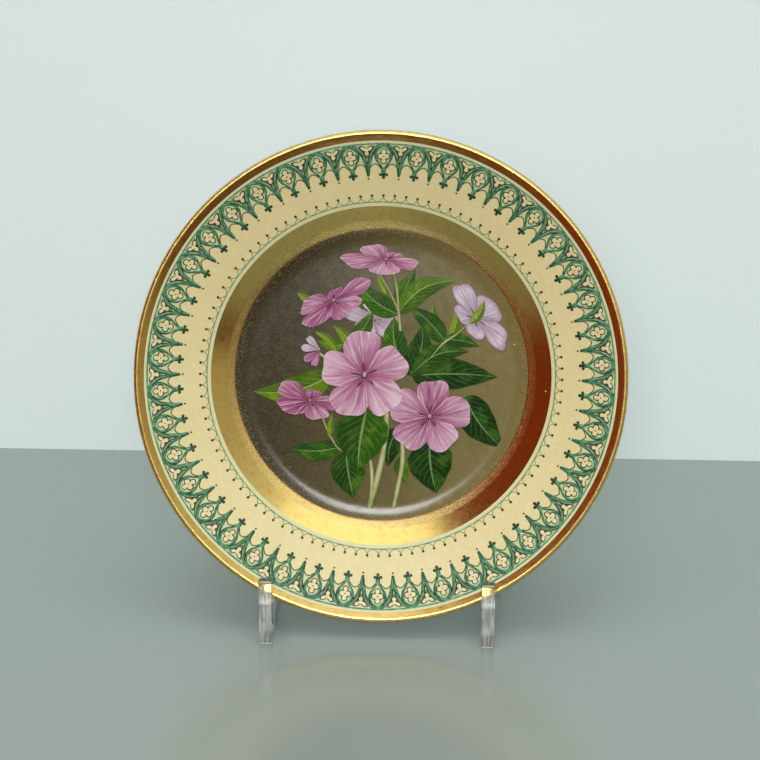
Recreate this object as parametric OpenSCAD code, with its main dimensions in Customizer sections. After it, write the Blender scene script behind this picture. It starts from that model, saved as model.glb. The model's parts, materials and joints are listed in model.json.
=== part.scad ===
// Plate display stand: two clear acrylic cheeks, joined by two drop-in crossbars,
// hold a round porcelain plate by its rim and let it lean back against two arms.
// Millimetres. +Z is up and the viewer stands at -Y. The origin is on the table, at the
// middle of the base.

/* [Plate] */
// Diameter of the plate that stands in the hooks
plate_d = 240; // [225:1:250]
// Height of the plate from its foot ring to the front of its rim
plate_h = 27; // [26:0.5:30]
// Radius where the sloping rim ends and the well begins
well_r = 83.2; // [80:0.2:86]
// Depth of the floor of the well behind the front of the rim
well_depth = 19.5; // [18:0.5:20]
// Radius of the middle of the foot ring on the back
foot_ring_r = 65.5; // [63:0.5:66]

/* [Stand] */
// Angle that the plate leans back from upright
lean = 13; // [9:0.5:17]
// Thickness of the acrylic sheet that all four cut pieces share
sheet = 6.35; // [5:0.05:8]
// Distance between the middles of the two cheeks
cheek_spacing = 108; // [100:1:114]
// Depth of the base from front foot to rear foot
base_depth = 115; // [112:1:125]
// Height of the cut ledge that carries the plate's rim
ledge_z = 17.8; // [17:0.2:20]
// Height of the hooks' tips above the table
hook_top = 33.2; // [31:0.2:37]
// Thickness of a hook from front to back
hook_t = 6.5; // [6:0.5:8]
// Free space between a hook and the plate's rim
rim_room = 4; // [3:0.5:6]
// Width of the leaning arm behind the plate
arm_w = 17; // [16:0.5:20]
// Reach of the arm above the middle of the plate
arm_reach = 50; // [46:1:60]

/* [Crossbars] */
// Length of both crossbars
bar_length = 126; // [124:1:140]
// Height of the upper crossbar, half of which is let into each cheek
upper_bar_h = 20; // [16:1:22]
// Height of the lower crossbar, which is also the height of the base rail
lower_bar_h = 13; // [12:0.5:14]
// Distance of the lower crossbar's middle from the front of the base
lower_bar_y = 80; // [76:1:82]
// Clearance on each side of a halving slot
slot_play = 0.1; // [0.05:0.05:0.2]

/* [Pads] */
// Thickness of the clear pads under the feet
foot_pad_t = 1; // [0.5:0.5:1]
// Thickness of the soft strips that line the ledges
rim_pad_t = 1.5; // [1:0.5:2]
// Thickness of the strips that the plate's back leans on
back_pad_t = 1.5; // [1:0.5:2]
// Gap left between the plate and each pad
seat_gap = 0.2; // [0.1:0.05:0.3]

/* [Hidden] */
$fn = 128;

LEFT = -1;
RIGHT = 1;
ACRYLIC = [0.86, 0.92, 0.93, 0.45];
SOFT_PAD = [0.95, 0.96, 0.96, 0.7];
PORCELAIN = [0.90, 0.82, 0.62];
ARC_STEPS = 8;                            // chords in each rounded corner

plate_r = plate_d / 2;
wall = 3.7;                               // thickness of the plate's rim
floor_wall = 4.7;                         // thickness of the plate's floor
rim_edge_r = 1.7;                         // rounding of the plate's edge
rim_mid = plate_h - wall / 2;             // middle of the rim's edge above the foot ring
ring_half_w = 2.3;                        // half the width of the foot ring
back_drop = 1.2;                          // slope of the foot ring's sides

foot_z = foot_pad_t;                      // underside of the acrylic feet
rail_z = 6;                               // underside of the base rail
toe = 5;                                  // height of the rear foot's upright end
rail_top = rail_z + lower_bar_h;
front_foot = 23;                          // length of the front foot on its pad
rear_foot = 26;                           // length of the rear foot on its pad
arch_slope = 4;                           // run of the arch's ends
leg_front = 94;                           // foot of the rear leg's front edge
opening_top = 118;                        // tip of the three-cornered opening
leg_join = 144;                           // where the rear leg leaves the arm

// The plate's own frame has its origin at the middle of the foot ring's plane, X across,
// Y up along the plate and Z out of its painted face.
inner_face = cheek_spacing / 2 - sheet / 2;
plate_z = ledge_z + rim_pad_t + seat_gap
    + sqrt(pow(plate_r, 2) - pow(inner_face, 2)) * cos(lean) - rim_mid * sin(lean);
plate_y = hook_t + rim_room + plate_h * cos(lean)
    + sqrt(pow(plate_r, 2) - pow(inner_face, 2)) * sin(lean);
arm_face = -(back_pad_t + seat_gap);      // the arms' front edges, in the plate's frame

// Distance from the front of the base to the arm's front edge at a height
function arm_front(z) = plate_y + (z - plate_z) * tan(lean) - arm_face / cos(lean);
function arm_back(z) = arm_front(z) + arm_w / cos(lean);
// Side-view place of a point of the plate's frame
function beside(up, out) =
    [plate_y + up * sin(lean) - out * cos(lean), plate_z + up * cos(lean) + out * sin(lean)];

function unit(v) = v / norm(v);
function turn(a) = a > 180 ? a - 360 : a < -180 ? a + 360 : a;
// Arc of radius r that rounds the corner b between the points a and c
function corner_arc(a, b, c, r) =
    let (
        u = unit(a - b),
        v = unit(c - b),
        half = acos(u * v) / 2,
        start = b + u * r / tan(half),
        stop = b + v * r / tan(half),
        middle = b + unit(u + v) * r / sin(half),
        from = atan2(start[1] - middle[1], start[0] - middle[0]),
        sweep = turn(atan2(stop[1] - middle[1], stop[0] - middle[0]) - from)
    )
    [for (i = [0:ARC_STEPS]) middle + r * [cos(from + sweep * i / ARC_STEPS),
                                           sin(from + sweep * i / ARC_STEPS)]];
function place(corner) = [corner[0], corner[1]];
// Closed outline whose corners are [x, y, radius], with radius 0 for a sharp corner
function rounded(corners) =
    let (n = len(corners))
    [for (i = [0:n - 1])
        each corners[i][2] == 0 ? [place(corners[i])]
            : corner_arc(place(corners[(i + n - 1) % n]), place(corners[i]),
                         place(corners[(i + 1) % n]), corners[i][2])];
function with_radius(p, r) = [p[0], p[1], r];

// Side view of a cheek: front foot, hook, ledge, leaning arm, rear leg and arched rail
cheek_outline = rounded([
    [0, foot_z, 1],
    [0, hook_top, 2],
    [hook_t, hook_top, 2],
    [hook_t, ledge_z, 2],
    [arm_front(ledge_z), ledge_z, 2],
    with_radius(beside(arm_reach, arm_face), 2),
    with_radius(beside(arm_reach, arm_face - arm_w), 4),
    [arm_back(leg_join), leg_join, 10],
    [base_depth, foot_z + toe, 3],
    [base_depth, foot_z, 1],
    [base_depth - rear_foot, foot_z, 1],
    [base_depth - rear_foot - arch_slope, rail_z, 3],
    [front_foot + arch_slope, rail_z, 3],
    [front_foot, foot_z, 1]
]);
opening_outline = rounded([
    [arm_back(rail_top), rail_top, 4],
    [leg_front, rail_top, 4],
    [arm_back(opening_top), opening_top, 2.5]
]);

// Half section of the plate, from the middle of its face out to the rim and back
face_z = plate_h - well_depth;
rim_in_z = face_z + 7.1;
plate_section = rounded([
    [0, face_z, 0],
    [70, face_z, 26],
    [well_r, rim_in_z, 6],
    [plate_r, plate_h, rim_edge_r],
    [plate_r, plate_h - wall, rim_edge_r],
    [well_r + 2.3, rim_in_z - wall - 0.7, 8],
    [foot_ring_r + 5, face_z - floor_wall + 0.8, 4],
    [foot_ring_r + ring_half_w, back_drop, 0],
    [foot_ring_r + ring_half_w - 0.6, 0, 0],
    [foot_ring_r - ring_half_w + 0.6, 0, 0],
    [foot_ring_r - ring_half_w - back_drop, face_z - floor_wall, 1],
    [0, face_z - floor_wall, 0]
]);

// Sets its children down with the front of the base at y = 0
module on_base() {
    translate([0, -base_depth / 2, 0]) children();
}

// Puts its children in the plate's frame
module in_plate_frame() {
    on_base() translate([0, plate_y, plate_z]) rotate([90 - lean, 0, 0]) children();
}

// Extrudes a side view, drawn in depth and height, across the object
module across(width) {
    rotate([90, 0, 90]) linear_extrude(height = width, center = true) children();
}

module cheek(side) {
    slot_w = sheet + 2 * slot_play;
    slot_cut = sheet + 1;
    color(ACRYLIC) on_base() translate([side * cheek_spacing / 2, 0, 0]) difference() {
        across(sheet) difference() {
            polygon(cheek_outline);
            polygon(opening_outline);
        }
        // halving slot for the upper crossbar, open at the arm's tip
        translate([0, plate_y, plate_z]) rotate([90 - lean, 0, 0])
            translate([0, arm_reach, arm_face - arm_w / 2])
                cube([slot_cut, upper_bar_h, slot_w], center = true);
        // halving slot for the lower crossbar, open upwards into the opening
        translate([0, lower_bar_y, rail_top])
            cube([slot_cut, slot_w, lower_bar_h], center = true);
    }
}

// Flat crossbar drawn in its own plane, with its lower edge at y = 0 and two halving slots
module crossbar(height) {
    slot_w = sheet + 2 * slot_play;
    half = bar_length / 2;
    linear_extrude(height = sheet, center = true) difference() {
        polygon(rounded([[-half, 0, 3], [half, 0, 3], [half, height, 3], [-half, height, 3]]));
        for (side = [LEFT, RIGHT])
            translate([side * cheek_spacing / 2, 0])
                square([slot_w, height + 2 * slot_play], center = true);
    }
}

module upper_crossbar() {
    color(ACRYLIC) in_plate_frame()
        translate([0, arm_reach - upper_bar_h, arm_face - arm_w / 2]) crossbar(upper_bar_h);
}

module lower_crossbar() {
    color(ACRYLIC) on_base()
        translate([0, lower_bar_y, rail_z]) rotate([90, 0, 0]) crossbar(lower_bar_h);
}

// Soft strip as wide as the sheet, with rounded ends, lying on z = 0
module pad(length, thickness) {
    half_w = sheet / 2;
    half_l = length / 2;
    color(SOFT_PAD) linear_extrude(height = thickness)
        polygon(rounded([[-half_w, -half_l, 1.5], [half_w, -half_l, 1.5],
                         [half_w, half_l, 1.5], [-half_w, half_l, 1.5]]));
}

module rim_pad(side) {
    room = arm_front(ledge_z) - hook_t;
    corner = 2;                           // keeps clear of the slot's rounded corners
    on_base() translate([side * cheek_spacing / 2, hook_t + room / 2, ledge_z])
        pad(room - 2 * corner, rim_pad_t);
}

// Lies on the arm where the plate's foot ring crosses it
module back_pad(side) {
    pad_length = 12;
    crossing = sqrt(pow(foot_ring_r, 2) - pow(cheek_spacing / 2, 2));
    in_plate_frame() translate([side * cheek_spacing / 2, crossing, arm_face])
        pad(pad_length, back_pad_t);
}

module foot_pad(side, front, back) {
    inset = 1;
    on_base() translate([side * cheek_spacing / 2, (front + back) / 2, 0])
        pad(back - front - 2 * inset, foot_pad_t);
}

module front_foot_pad(side) {
    foot_pad(side, 0, front_foot);
}

module rear_foot_pad(side) {
    foot_pad(side, base_depth - rear_foot, base_depth);
}

module plate() {
    color(PORCELAIN) in_plate_frame() rotate_extrude() polygon(plate_section);
}

cheek(LEFT);  // left_cheek
cheek(RIGHT);  // right_cheek
upper_crossbar();
lower_crossbar();
rim_pad(LEFT);  // left_rim_pad
rim_pad(RIGHT);  // right_rim_pad
back_pad(LEFT);  // left_back_pad
back_pad(RIGHT);  // right_back_pad
front_foot_pad(LEFT);  // left_front_foot_pad
front_foot_pad(RIGHT);  // right_front_foot_pad
rear_foot_pad(LEFT);  // left_rear_foot_pad
rear_foot_pad(RIGHT);  // right_rear_foot_pad
plate();
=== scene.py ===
from math import atan2, cos, pi, radians, sin, tan

import bpy
from mathutils import Euler, Matrix, Vector
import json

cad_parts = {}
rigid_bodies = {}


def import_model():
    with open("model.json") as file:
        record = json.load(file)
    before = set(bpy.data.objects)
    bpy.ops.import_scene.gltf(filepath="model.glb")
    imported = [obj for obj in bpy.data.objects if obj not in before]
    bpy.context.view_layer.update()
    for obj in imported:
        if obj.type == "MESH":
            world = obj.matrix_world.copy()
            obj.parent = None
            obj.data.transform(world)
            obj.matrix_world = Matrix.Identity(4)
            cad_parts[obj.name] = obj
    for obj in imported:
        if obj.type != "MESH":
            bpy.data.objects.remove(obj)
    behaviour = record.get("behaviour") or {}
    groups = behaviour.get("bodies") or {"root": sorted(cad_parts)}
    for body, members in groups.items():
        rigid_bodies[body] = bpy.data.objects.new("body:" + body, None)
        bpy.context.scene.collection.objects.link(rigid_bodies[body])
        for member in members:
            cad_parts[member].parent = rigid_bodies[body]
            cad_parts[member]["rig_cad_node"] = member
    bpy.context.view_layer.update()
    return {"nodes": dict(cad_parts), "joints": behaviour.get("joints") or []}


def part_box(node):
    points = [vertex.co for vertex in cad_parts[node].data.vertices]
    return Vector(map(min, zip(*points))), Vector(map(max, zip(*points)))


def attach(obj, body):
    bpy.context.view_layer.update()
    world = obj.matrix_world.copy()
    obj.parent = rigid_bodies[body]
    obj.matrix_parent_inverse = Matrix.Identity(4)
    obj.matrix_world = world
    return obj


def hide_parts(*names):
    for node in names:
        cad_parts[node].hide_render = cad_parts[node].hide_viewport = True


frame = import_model()


# ---------------------------------------------------------------------------------------------
# Camera. It stands a little to the right of the middle, looks down on the plate's face, and
# is turned by less than half a degree about its own line of sight.
# ---------------------------------------------------------------------------------------------
camera_place = (0.034, -1.2525, 0.537)
camera_azimuth = 1.59
camera_elevation = 18.5
camera_roll = 0.44
camera_lens = 127.05

bpy.ops.object.select_all(action="DESELECT")
bpy.ops.object.camera_add(location=camera_place)
camera = bpy.context.object
camera.name = "camera"
aim = Euler((radians(90 - camera_elevation), 0, radians(camera_azimuth))).to_matrix()
camera.rotation_euler = (aim @ Matrix.Rotation(radians(camera_roll), 3, "Z")).to_euler()
camera.data.lens = camera_lens
camera.data.clip_start = 0.05
bpy.context.scene.camera = camera


# ---------------------------------------------------------------------------------------------
# Table and wall. A pale grey-green table top with a satin shine runs back to a plain wall.
# The wall is seen from its front only, so that it never hides the object from behind.
# ---------------------------------------------------------------------------------------------
table_back = 0.215
table_front = -0.42
table_half = 1.3
wall_half = 3.0


def new_material(name):
    """An empty node material with a Principled shader, and shorthand for its tree."""
    material = bpy.data.materials.new(name)
    material.use_nodes = True
    tree = material.node_tree
    tree.nodes.clear()
    output = tree.nodes.new("ShaderNodeOutputMaterial")
    shader = tree.nodes.new("ShaderNodeBsdfPrincipled")
    tree.links.new(shader.outputs["BSDF"], output.inputs["Surface"])
    return material, tree, shader


def node(tree, kind, **settings):
    """A node of the given kind. Settings name its properties, or its inputs by label."""
    made = tree.nodes.new("ShaderNode" + kind)
    for key, value in settings.items():
        label = key.replace("_", " ").title()
        if label in made.inputs:
            made.inputs[label].default_value = value
        else:
            setattr(made, key, value)
    return made


def feed(tree, socket, value):
    """Gives a socket its value: another socket to link to, a number or a colour."""
    if isinstance(value, (int, float)):
        socket.default_value = value
    elif isinstance(value, tuple):
        socket.default_value = (*value, 1)
    else:
        tree.links.new(value, socket)


def maths(tree, operation, first, second=0.0):
    """One Math node whose inputs are sockets or plain numbers. Returns its output."""
    made = node(tree, "Math", operation=operation)
    feed(tree, made.inputs[0], first)
    feed(tree, made.inputs[1], second)
    return made.outputs["Value"]


def blend_colours(tree, factor, first, second, mode="MIX"):
    """A colour mix whose three inputs are sockets or plain values. Returns its output."""
    made = node(tree, "Mix", data_type="RGBA", blend_type=mode)
    feed(tree, made.inputs[0], factor)
    feed(tree, made.inputs[6], first)
    feed(tree, made.inputs[7], second)
    return made.outputs[2]


def rescaled(tree, value, low, high, to_low=0.0, to_high=1.0):
    """Maps low..high of a value to to_low..to_high, with soft ends."""
    made = node(tree, "MapRange", interpolation_type="SMOOTHSTEP")
    for label, given in (("Value", value), ("From Min", low), ("From Max", high),
                         ("To Min", to_low), ("To Max", to_high)):
        feed(tree, made.inputs[label], given)
    return made.outputs["Result"]


def bump(tree, shader, height, distance, strength):
    """Feeds a height to the Normal of a shader, or of a group's output, through a Bump node."""
    made = node(tree, "Bump", strength=strength, distance=distance)
    tree.links.new(height, made.inputs["Height"])
    tree.links.new(made.outputs["Normal"], shader.inputs["Normal"])


def table_finish():
    material, tree, shader = new_material("satin_table")
    place = node(tree, "TexCoord").outputs["Object"]
    clouds = node(tree, "TexNoise", scale=3.0, detail=3.0)
    tree.links.new(place, clouds.inputs["Vector"])
    grain = node(tree, "TexNoise", scale=900.0, detail=2.0)
    tree.links.new(place, grain.inputs["Vector"])
    shader.inputs["IOR"].default_value = 1.6
    tone = blend_colours(tree, clouds.outputs["Fac"], (0.242, 0.286, 0.270), (0.276, 0.318, 0.302))
    tree.links.new(tone, shader.inputs["Base Color"])
    tree.links.new(rescaled(tree, clouds.outputs["Fac"], 0.3, 0.7, 0.15, 0.20),
                   shader.inputs["Roughness"])
    bump(tree, shader, grain.outputs["Fac"], 0.00002, 0.3)
    return material


def wall_finish():
    material, tree, shader = new_material("painted_wall")
    shader.inputs["Roughness"].default_value = 0.9
    shader.inputs["Specular IOR Level"].default_value = 0.2
    place = node(tree, "TexCoord").outputs["Object"]
    clouds = node(tree, "TexNoise", scale=1.2, detail=2.0)
    tree.links.new(place, clouds.inputs["Vector"])
    tone = blend_colours(tree, clouds.outputs["Fac"], (0.84, 0.94, 0.97), (0.87, 0.965, 0.99))
    tree.links.new(tone, shader.inputs["Base Color"])
    clear = node(tree, "BsdfTransparent")
    behind = node(tree, "NewGeometry").outputs["Backfacing"]
    either = node(tree, "MixShader")
    tree.links.new(behind, either.inputs["Fac"])
    tree.links.new(shader.outputs["BSDF"], either.inputs[1])
    tree.links.new(clear.outputs["BSDF"], either.inputs[2])
    output = next(n for n in tree.nodes if n.type == "OUTPUT_MATERIAL")
    tree.links.new(either.outputs["Shader"], output.inputs["Surface"])
    return material


bpy.ops.mesh.primitive_plane_add(size=1.0, location=(0, (table_back + table_front) / 2, 0))
table = bpy.context.object
table.name = "table_top"
table.scale = (2 * table_half, table_back - table_front, 1)
bpy.ops.object.transform_apply(location=True, rotation=True, scale=True)
table.data.materials.append(table_finish())
bpy.ops.mesh.primitive_plane_add(size=2 * wall_half, rotation=(radians(90), 0, 0),
                                 location=(0, table_back, wall_half - 0.002))
wall = bpy.context.object
wall.name = "wall"
wall.data.materials.append(wall_finish())


# ---------------------------------------------------------------------------------------------
# Light. A large dim soft box hangs overhead, a small bright one stands far in front, and a
# third, which nothing mirrors, washes the wall. A dim red card at the left is seen only in
# shiny surfaces, and darkens the gilding to red-brown.
# ---------------------------------------------------------------------------------------------
def soft_box(name, place, target, size, power, colour):
    """A square area light at place that faces target."""
    bpy.ops.object.light_add(type="AREA", location=place)
    light = bpy.context.object
    light.name = name
    facing = Vector(target) - Vector(place)
    light.rotation_euler = facing.to_track_quat("-Z", "Y").to_euler()
    light.data.size = size
    light.data.energy = power
    light.data.color = colour
    return light


def room_light():
    """World light: brown below, dim and warm at the horizon, pale overhead, plain to the camera."""
    world = bpy.data.worlds.new("room")
    world.use_nodes = True
    tree = world.node_tree
    tree.nodes.clear()
    output = tree.nodes.new("ShaderNodeOutputWorld")
    background = tree.nodes.new("ShaderNodeBackground")
    direction = node(tree, "TexCoord").outputs["Generated"]
    height = node(tree, "SeparateXYZ")
    tree.links.new(direction, height.inputs["Vector"])
    rise = rescaled(tree, height.outputs["Z"], 0.10, 0.80)
    sky = blend_colours(tree, rise, (0.40, 0.335, 0.225), (0.88, 0.92, 0.90))
    right = rescaled(tree, height.outputs["X"], 0.60, 0.88)
    sky = blend_colours(tree, right, sky, (0.62, 0.60, 0.46))
    below = rescaled(tree, height.outputs["Z"], 0.0, -0.12)
    sky = blend_colours(tree, below, sky, (0.14, 0.065, 0.030))
    seen = node(tree, "LightPath").outputs["Is Camera Ray"]
    tree.links.new(blend_colours(tree, seen, sky, (0.70, 0.77, 0.77)),
                   background.inputs["Color"])
    background.inputs["Strength"].default_value = 1.0
    tree.links.new(background.outputs["Background"], output.inputs["Surface"])
    bpy.context.scene.world = world


room_light()
soft_box("overhead_box", (0.1, -0.75, 1.5), (0, 0, 0.1), 1.25, 4.9, (1.0, 0.99, 0.98))
soft_box("front_window", (-0.02, -2.1, 0.92), (0, 0, 0.12), 0.48, 12.5, (1.0, 0.99, 0.98))
wash = soft_box("wall_wash", (0, -0.12, 1.4), (0, 0.215, 0.35), 0.8, 3.4, (0.97, 1.0, 1.0))
wash.visible_glossy = False


def card_finish():
    material, tree, shader = new_material("warm_card")
    tree.nodes.remove(shader)
    glow = node(tree, "Emission", strength=1.0)
    place = node(tree, "TexCoord").outputs["Object"]
    folds = node(tree, "TexNoise", scale=4.0, detail=2.0)
    tree.links.new(place, folds.inputs["Vector"])
    tone = blend_colours(tree, folds.outputs["Fac"], (0.17, 0.018, 0.002), (0.27, 0.040, 0.006))
    tree.links.new(tone, glow.inputs["Color"])
    output = next(n for n in tree.nodes if n.type == "OUTPUT_MATERIAL")
    tree.links.new(glow.outputs["Emission"], output.inputs["Surface"])
    return material


bpy.ops.mesh.primitive_plane_add(size=1.0, location=(-0.78, -0.88, 0.66),
                                 rotation=(radians(90), 0, radians(-54)))
card = bpy.context.object
card.name = "warm_card"
card.scale = (1.75, 1.9, 1)
card.data.materials.append(card_finish())
for seen_by in ("visible_camera", "visible_diffuse", "visible_transmission", "visible_shadow"):
    setattr(card, seen_by, False)

bpy.context.scene.view_settings.view_transform = "Standard"


# ---------------------------------------------------------------------------------------------
# Plate. Thrown porcelain with a wide sloping rim, a curved well and a foot ring. It is shaped
# lying on its foot at the origin and then stood up in the hooks of the stand.
# ---------------------------------------------------------------------------------------------
mm = 0.001
turns = 320
rim_r = 120 * mm
well_r = 83.2 * mm
ground_r = 71.8 * mm
gold_in = 114.9 * mm
face_z = 7.5 * mm
well_z = 14.6 * mm
rim_z = 27 * mm
floor_curve = 26 * mm
plate_corners = [
    (70 * mm, face_z, floor_curve), (well_r, well_z, 6 * mm), (rim_r, rim_z, 1.7 * mm),
    (rim_r, 23.3 * mm, 1.7 * mm), (85.5 * mm, 10.2 * mm, 8 * mm), (70.5 * mm, 3.6 * mm, 4 * mm),
    (67.8 * mm, 1.2 * mm, 0.3 * mm), (67.2 * mm, 0, 0.4 * mm), (63.8 * mm, 0, 0.4 * mm),
    (62 * mm, 2.8 * mm, 1 * mm)]

# The seat: the plate's own frame turned up by its lean, with its rim where the CAD plate's is
lean_axis = Vector(next(j for j in frame["joints"] if j["name"] == "plate_lift")["axis"])
lean = atan2(lean_axis.y, lean_axis.z)
plate_low, plate_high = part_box("plate")
rim_front = 52.32 * mm        # reach of the rim's lowest front edge before the foot's centre
rim_edge_z = 24.55 * mm       # height of the middle of the rim's rounded edge above the foot
seat = Vector((0, plate_low[1] + rim_front,
               (plate_low[2] + plate_high[2]) / 2 - rim_edge_z * sin(lean)))
upright = pi / 2 - lean


def stand_up(piece):
    """Stands a piece of the plate up in the hooks and fixes its place in its mesh."""
    piece.matrix_world = Matrix.Translation(seat) @ Matrix.Rotation(upright, 4, "X")
    only(piece)
    bpy.ops.object.transform_apply(location=True, rotation=True, scale=True)


def only(*pieces):
    """Selects these pieces and no others. The last is the active one."""
    if bpy.context.object and bpy.context.object.mode != "OBJECT":
        bpy.ops.object.mode_set(mode="OBJECT")
    bpy.ops.object.select_all(action="DESELECT")
    for piece in pieces:
        piece.select_set(True)
        bpy.context.view_layer.objects.active = piece


def rounded_corner(before, corner, after, radius, steps=8):
    """Points of the arc that rounds a corner of an outline in radius and height."""
    here = Vector(corner)
    back = (Vector(before) - here).normalized()
    on = (Vector(after) - here).normalized()
    half = back.angle(on) / 2
    middle = here + (back + on).normalized() * radius / sin(half)
    start = here + back * radius / tan(half) - middle
    stop = here + on * radius / tan(half) - middle
    sweep = start.angle_signed(stop)
    return [middle + Matrix.Rotation(-sweep * i / steps, 2) @ start for i in range(steps + 1)]


def plate_profile():
    """The plate's half section as smooth points, from the face's middle round to the back's."""
    corners = [(0, face_z), *[c[:2] for c in plate_corners], (0, 2.8 * mm)]
    points = []
    for i, (r, z, radius) in enumerate(plate_corners):
        points += rounded_corner(corners[i], (r, z), corners[i + 2], radius)
    return points


def throw_plate():
    """Draws the clay out ring by ring from the middle of the face to the middle of the back.
    The outline's first two corners are on the face, and the others on the rim and back."""
    bpy.ops.mesh.primitive_circle_add(vertices=turns, radius=8 * mm, fill_type="TRIFAN",
                                      location=(0, 0, face_z))
    plate = bpy.context.object
    bpy.ops.object.transform_apply(location=True)
    bpy.ops.object.mode_set(mode="EDIT")
    bpy.ops.mesh.select_all(action="DESELECT")
    bpy.ops.mesh.select_mode(type="VERT")
    bpy.ops.mesh.select_non_manifold()
    flat = [Vector((r * mm, face_z)) for r in (16, 24, 32, 40, 48, 56)]
    profile = plate_profile()
    face_points = 2 * len(profile) // len(plate_corners)
    slope = [Vector((well_r, well_z)).lerp(Vector((rim_r, rim_z)), t / 12)
             for t in range(2, 12)]
    face_rings = sorted(flat + profile[:face_points] + slope, key=lambda p: p[0])
    for border in (ground_r, gold_in):
        outer = next(i for i, p in enumerate(face_rings) if p[0] > border)
        inner, over = face_rings[outer - 1], face_rings[outer]
        share = (border - inner[0]) / (over[0] - inner[0])
        face_rings.insert(outer, inner.lerp(over, share))
    rings = face_rings + profile[face_points:]
    rings += [Vector((r * mm, 2.8 * mm)) for r in (48, 32, 16, 8)]
    at = Vector((8 * mm, face_z))
    for ring in rings:
        bpy.ops.mesh.extrude_region_move(
            TRANSFORM_OT_translate={"value": (0, 0, ring[1] - at[1])})
        scale = ring[0] / at[0]
        bpy.ops.transform.resize(value=(scale, scale, 1), center_override=(0, 0, 0))
        at = ring
    bpy.ops.mesh.fill()
    bpy.ops.mesh.select_all(action="SELECT")
    bpy.ops.mesh.normals_make_consistent(inside=False)
    bpy.ops.object.mode_set(mode="OBJECT")
    return plate


plate = throw_plate()
plate.name = "porcelain_plate"
bpy.ops.object.shade_smooth_by_angle(angle=radians(40))


def new_group(name, taken, given):
    """An empty node group, with its input sockets and its output node. Taken and given name
    each socket with its kind."""
    group = bpy.data.node_groups.new(name, "ShaderNodeTree")
    for in_out, sockets in (("INPUT", taken), ("OUTPUT", given)):
        for label, kind in sockets.items():
            group.interface.new_socket(name=label, in_out=in_out,
                                       socket_type="NodeSocket" + kind)
    return group, group.nodes.new("NodeGroupInput").outputs, group.nodes.new("NodeGroupOutput")


def placed(tree, group, **values):
    """A group placed in a tree, with its inputs fed by label. Returns its outputs."""
    made = tree.nodes.new("ShaderNodeGroup")
    made.node_tree = group
    for key, value in values.items():
        feed(tree, made.inputs[key.replace("_", " ").title()], value)
    return made.outputs


def plate_polar():
    """Node group: radius and angle on the plate in millimetres and radians, and its flat place."""
    group, _, output = new_group("plate_polar", {}, {"Radius": "Float", "Angle": "Float",
                                                     "Place": "Vector", "Round": "Vector"})
    lay_down = node(group, "Mapping", vector_type="TEXTURE")
    lay_down.inputs["Location"].default_value = seat
    lay_down.inputs["Rotation"].default_value = (upright, 0, 0)
    lay_down.inputs["Scale"].default_value = (mm, mm, mm)
    group.links.new(node(group, "TexCoord").outputs["Object"], lay_down.inputs["Vector"])
    parts = node(group, "SeparateXYZ")
    group.links.new(lay_down.outputs["Vector"], parts.inputs["Vector"])
    x, y = parts.outputs["X"], parts.outputs["Y"]
    squares = maths(group, "ADD", maths(group, "MULTIPLY", x, x), maths(group, "MULTIPLY", y, y))
    radius = maths(group, "SQRT", squares)
    angle = maths(group, "ARCTAN2", y, x)
    around = node(group, "CombineXYZ")
    group.links.new(maths(group, "MULTIPLY", angle, 6.0), around.inputs["X"])
    group.links.new(radius, around.inputs["Y"])
    group.links.new(radius, output.inputs["Radius"])
    group.links.new(angle, output.inputs["Angle"])
    group.links.new(lay_down.outputs["Vector"], output.inputs["Place"])
    group.links.new(around.outputs["Vector"], output.inputs["Round"])
    return group


def fired_specks():
    """Node group: round specks, as of iron or dust fired in the glaze. Share is how many cells."""
    group, given, output = new_group("fired_specks", {"Place": "Vector", "Spacing": "Float",
                                                      "Share": "Float", "Size": "Float"},
                                     {"Mask": "Float"})
    cells = node(group, "TexVoronoi", feature="F1")
    group.links.new(given["Place"], cells.inputs["Vector"])
    group.links.new(maths(group, "DIVIDE", 1.0, given["Spacing"]), cells.inputs["Scale"])
    random = node(group, "SeparateColor")
    group.links.new(cells.outputs["Color"], random.inputs["Color"])
    chosen = maths(group, "LESS_THAN", random.outputs["Red"], given["Share"])
    near = maths(group, "LESS_THAN", cells.outputs["Distance"], given["Size"])
    group.links.new(maths(group, "MULTIPLY", chosen, near), output.inputs["Mask"])
    return group


polar_group = plate_polar()
speck_group = fired_specks()


def polar(tree):
    """The plate_polar group placed in a tree."""
    return placed(tree, polar_group)


def specks(tree, place, spacing, share, size):
    """The fired_specks group placed in a tree with its own values. Returns the mask."""
    return placed(tree, speck_group, place=place, spacing=spacing, share=share,
                  size=size)["Mask"]


motifs = 42
ring_lines = {"inner": 84.9, "outer": 113.4}


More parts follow.
